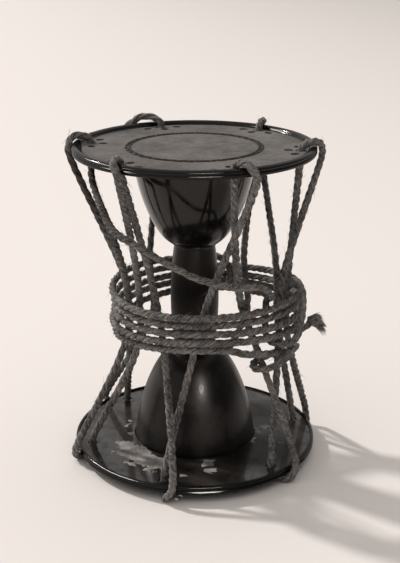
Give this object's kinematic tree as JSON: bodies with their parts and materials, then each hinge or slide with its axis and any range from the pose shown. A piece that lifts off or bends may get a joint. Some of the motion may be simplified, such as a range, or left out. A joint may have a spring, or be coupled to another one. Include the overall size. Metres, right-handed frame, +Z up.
{
  "type": "hourglass drum",
  "caption": "Hourglass hand drum: a lacquered wooden body between hide heads on iron hoops, drawn together by a zigzag hemp lacing and a cord wound round its waist.",
  "frame": {"origin": "on the drum's axis, at the floor that the lower cord loops stand on", "axes": "+Z up along the drum's axis, -Y towards the side with the diagonal lead"},
  "size_m": [0.2139, 0.2176, 0.2763],
  "materials": {
    "lacquered_wood": "gloss black lacquer",
    "hide": "matte stretched hide",
    "lacquered_hide": "worn black lacquer",
    "hoop_iron": "dull dark iron",
    "thread": "waxed thread",
    "hemp": "coarse twisted hemp"
  },
  "bodies": {
    "root": {"wooden_body": "lacquered_wood", "upper_front_skin": "hide", "upper_back_skin": "lacquered_hide", "upper_iron_hoop": "hoop_iron", "upper_seam_thread": "thread", "lower_front_skin": "hide", "lower_back_skin": "lacquered_hide", "lower_iron_hoop": "hoop_iron", "lower_seam_thread": "thread", "lacing_cord": "hemp", "waist_cord": "hemp"}
  },
  "joints": []
}
